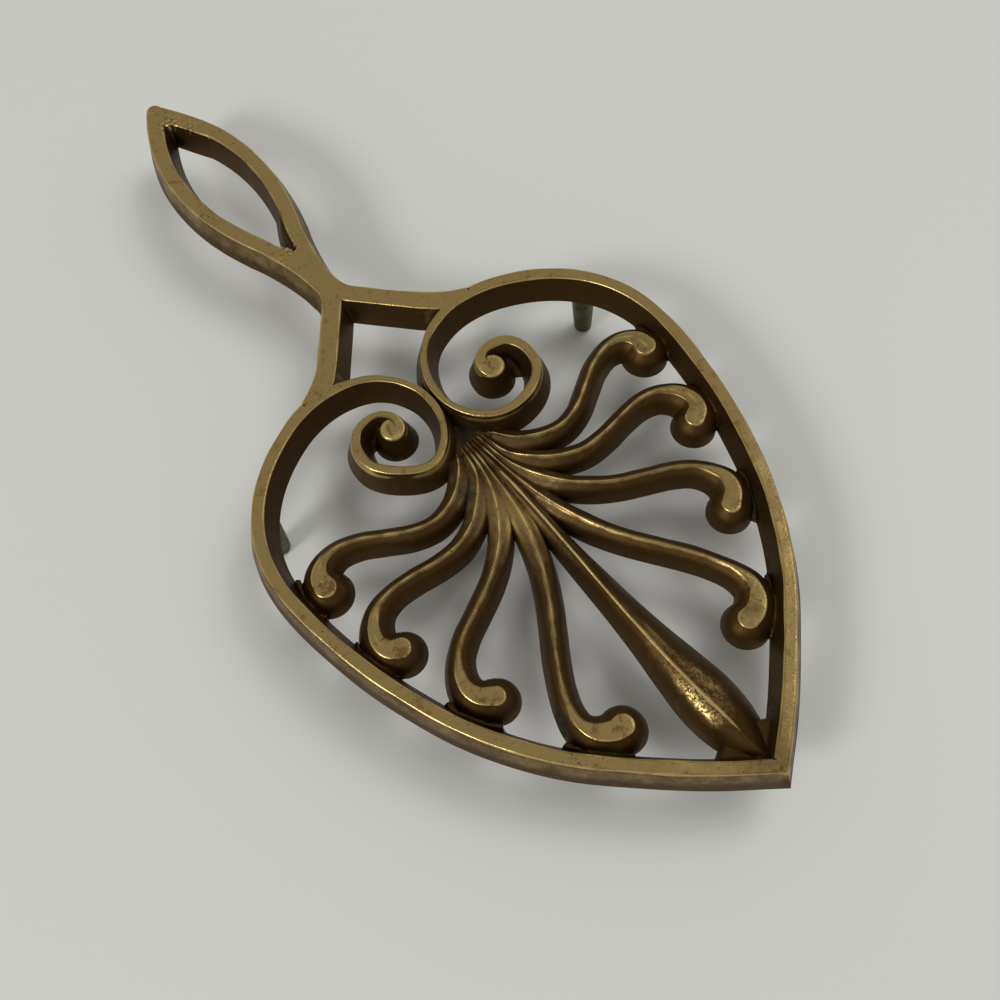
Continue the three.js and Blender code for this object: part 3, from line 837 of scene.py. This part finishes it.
def new_material(name):
    """A new material and its node tree, which is still empty."""
    material = bpy.data.materials.new(name)
    material.use_nodes = True
    tree = material.node_tree
    tree.nodes.clear()
    return material, tree


old_brass, tree = new_material("Old_brass_cast_filed_and_handled")
spot = add_node(tree, "ShaderNodeTexCoord").outputs["Object"]


def attribute(name):
    """The value of one of the mesh's own attributes."""
    return add_node(tree, "ShaderNodeAttribute", attribute_name=name).outputs["Fac"]


def noise(millimetres, detail=3.0, roughness=0.55):
    """Cloudy noise whose patches are about that many millimetres across."""
    return add_node(tree, "ShaderNodeTexNoise", {
        "Vector": spot, "Scale": 1000 / millimetres, "Detail": detail, "Roughness": roughness,
    }).outputs["Fac"]


def mapped(value, low, high, to_low=0.0, to_high=1.0):
    """A value eased from one range to another, by 3k^2 - 2k^3 of the share k of the way."""
    return add_node(tree, "ShaderNodeMapRange", {
        "Value": value, "From Min": low, "From Max": high, "To Min": to_low, "To Max": to_high,
    }, interpolation_type="SMOOTHSTEP").outputs["Result"]


def math(operation, first, second=0.0):
    """Two numbers joined by a sum, a product or another operation, or one changed by it."""
    return add_node(tree, "ShaderNodeMath", {0: first, 1: second},
                    operation=operation).outputs["Value"]


def mixed(share, first, second):
    """A colour that goes from the first to the second with the share. A mix node has its inputs
    for colours at 6 and 7, and its colour output at 2."""
    node = add_node(tree, "ShaderNodeMix", {0: share, 6: first, 7: second}, data_type="RGBA")
    return node.outputs[2]


# Bright is how clean the metal is: the bare places, broken up by clouds, mottling and a net of
# fine veins, less the grime and painted shade, plus the worn edges and their painted highlight.
cloud = noise(6, 4.0)
mottle = noise(1.6, 5.0, 0.65)
speck = noise(0.6, 2.0)
bright = math("ADD", attribute("bare"), mapped(cloud, 0.3, 0.7, -0.1, 0.1))
bright = math("ADD", bright, mapped(mottle, 0.3, 0.7, -0.09, 0.09))
vein = math("ABSOLUTE", math("SUBTRACT", noise(1.3, 3.0, 0.6), 0.5))
net = mapped(vein, 0.0, 0.06, -0.35, 0.42)
bright = math("ADD", bright, math("MULTIPLY", attribute("etched"), net))
# Painted shade, partly dirt, darkens the hollows and the low inner walls.
bright = math("SUBTRACT", bright, math("MULTIPLY", attribute("grime_and_shade"), 0.6))
bright = mapped(math("ADD", bright, math("MULTIPLY", attribute("worn_and_highlight"), 0.5)), 0.05, 1.0)

# The colour goes from tarnish to clean brass, then come rubbed edges with painted highlight lines,
# pits, stains and verdigris.
colour = mixed(bright, linear(TARNISH), linear(CLEAN_BRASS))
# Rubbed edges, partly a painted highlight.
rubbed_and_highlight = mapped(attribute("worn_and_highlight"), 0.25, 0.9, 0, 0.85)
colour = mixed(rubbed_and_highlight, colour, linear(RUBBED_BRASS_AND_HIGHLIGHT))
pits = math("ADD", speck, math("MULTIPLY", attribute("pitted"), 0.12))
colour = mixed(mapped(pits, 0.66, 0.74, 0, 0.85), colour, linear(PIT))
stained = attribute("stained")
stain = math("ADD", noise(2.4, 5.0, 0.6), math("MULTIPLY", stained, 0.07))
stain = mapped(stain, 0.56, 0.7, 0, 0.45)
stain = math("MULTIPLY", stain, math("ADD", 1.0, math("MULTIPLY", stained, 0.5)))
colour = mixed(stain, colour, linear(STAIN))
damp = math("ADD", attribute("green"), mapped(mottle, 0.3, 0.7, -0.3, 0.3))
damp = mapped(damp, 0.3, 0.9, 0, 0.85)
colour = mixed(damp, colour, linear(VERDIGRIS))

# Clean metal is smooth and mirrors the room. Tarnish and verdigris dull it, and so does the paler
# patch painted on the fan of the root.
rough = math("ADD", mapped(bright, 0, 0.8, 0.52, 0.29), mapped(mottle, 0.3, 0.7, -0.04, 0.04))
rough = math("ADD", rough, math("MULTIPLY", damp, 0.3))
metal = math("SUBTRACT", mapped(bright, 0, 0.6, 0.86, 1), math("MULTIPLY", damp, 0.5))
metal = math("SUBTRACT", metal, math("MULTIPLY", attribute("painted_light_on_fan"), 0.4))
grain = add_node(tree, "ShaderNodeBump", {
    "Strength": 0.35, "Distance": 0.0001,
    "Height": math("ADD", noise(1.1, 4.0), math("ADD", speck, mottle)),
})
shader = add_node(tree, "ShaderNodeBsdfPrincipled", {
    "Base Color": colour, "Metallic": metal, "Roughness": rough,
    "Normal": grain.outputs["Normal"],
})
add_node(tree, "ShaderNodeOutputMaterial", {"Surface": shader.outputs["BSDF"]})

casting = bpy.data.objects.new("casting_fine", casting_mesh)
bpy.context.scene.collection.objects.link(casting)
casting_mesh.materials.append(old_brass)
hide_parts("trivet_casting")
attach(casting, "root")


# Three peg feet, turned from brass rod and driven into blind holes in the underside. The CAD's own
# pieces stay, in the colour of old rod that nobody polishes: dull, grey-green and cloudy.
GREY_BRASS = "4c4a36"
GREEN_BRASS = "6a6649"
dull_brass, tree = new_material("Old_brass_rod_gone_dull")
spot = add_node(tree, "ShaderNodeTexCoord").outputs["Object"]
tone = mixed(mapped(noise(3), 0.35, 0.65), linear(GREY_BRASS), linear(GREEN_BRASS))
shader = add_node(tree, "ShaderNodeBsdfPrincipled", {
    "Base Color": tone, "Metallic": 0.85, "Roughness": 0.5,
})
add_node(tree, "ShaderNodeOutputMaterial", {"Surface": shader.outputs["BSDF"]})
for name in ("foot_left", "foot_right", "foot_front"):
    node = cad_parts[name]
    for slot in node.material_slots:
        slot.material = dull_brass


# A tabletop of white laminate carries the trivet. It gives the eye an even pale ground with soft
# shadows and only a faint sheen.
LAMINATE = "dbdbd7"
FLOOR_REACH = 3
floor_material, tree = new_material("White_laminate_satin")
shader = add_node(tree, "ShaderNodeBsdfPrincipled", {
    "Base Color": linear(LAMINATE), "Roughness": 0.4,
})
add_node(tree, "ShaderNodeOutputMaterial", {"Surface": shader.outputs["BSDF"]})
floor_mesh = bpy.data.meshes.new("tabletop")
corners = [[x * FLOOR_REACH, y * FLOOR_REACH, 0] for x, y in ((-1, -1), (1, -1), (1, 1), (-1, 1))]
floor_mesh.from_pydata(corners, [], [[0, 1, 2, 3]])
floor_mesh.materials.append(floor_material)
floor = bpy.data.objects.new("tabletop", floor_mesh)
bpy.context.scene.collection.objects.link(floor)


# Soft light in a pale room: a wide panel high on the right, which the metal doesn't mirror, a small
# lamp in the same place for its glints, and a panel on the left.
ROOM_WALLS = "d9d8d4"
ROOM_STRENGTH = 0.55


def panel(name, place, size, watts, mirrored_in_metal=True):
    """A square area light at a place, turned to face the trivet. Its level edge is the cross
    product of straight up and the way back to the lamp."""
    light = bpy.data.lights.new(name, "AREA")
    light.size = size
    light.energy = watts
    lamp = bpy.data.objects.new(name, light)
    lamp.visible_glossy = mirrored_in_metal
    back = np.array(place, float)
    back /= np.linalg.norm(back)
    across = np.cross([0.0, 0.0, 1.0], back)
    across /= np.linalg.norm(across)
    up = np.cross(back, across)
    lamp.matrix_world = Matrix([
        [across[0], up[0], back[0], place[0]], [across[1], up[1], back[1], place[1]],
        [across[2], up[2], back[2], place[2]], [0, 0, 0, 1],
    ])
    bpy.context.scene.collection.objects.link(lamp)


panel("Panel_right", (1.0, -0.08, 1.73), size=1.1, watts=11.9, mirrored_in_metal=False)
panel("Panel_lamp", (0.99, -0.08, 1.72), size=0.22, watts=1.1)
panel("Panel_left", (-1.53, -0.14, 1.29), size=0.5, watts=12.6)
world = bpy.data.worlds.new("Pale_room")
bpy.context.scene.world = world
world.use_nodes = True
backdrop = world.node_tree.nodes["Background"]
backdrop.inputs["Color"].default_value = linear(ROOM_WALLS)
backdrop.inputs["Strength"].default_value = ROOM_STRENGTH
bpy.context.scene.view_settings.view_transform = "Standard"


# The camera stands above the point of the heart, a little to its left, and looks down at a slant
# towards the handle. Its place was worked out from the photo and the heart's mirror symmetry.
camera_data = bpy.data.cameras.new("Camera")
camera_data.lens = 38.908
camera_data.sensor_width = 36
camera_data.clip_start = 0.01
camera = bpy.data.objects.new("Camera", camera_data)
camera.location = (-0.057059, -0.123446, 0.242246)
camera.rotation_euler = np.radians([24.508, 3.818, -39.040])
bpy.context.scene.collection.objects.link(camera)
bpy.context.scene.camera = camera
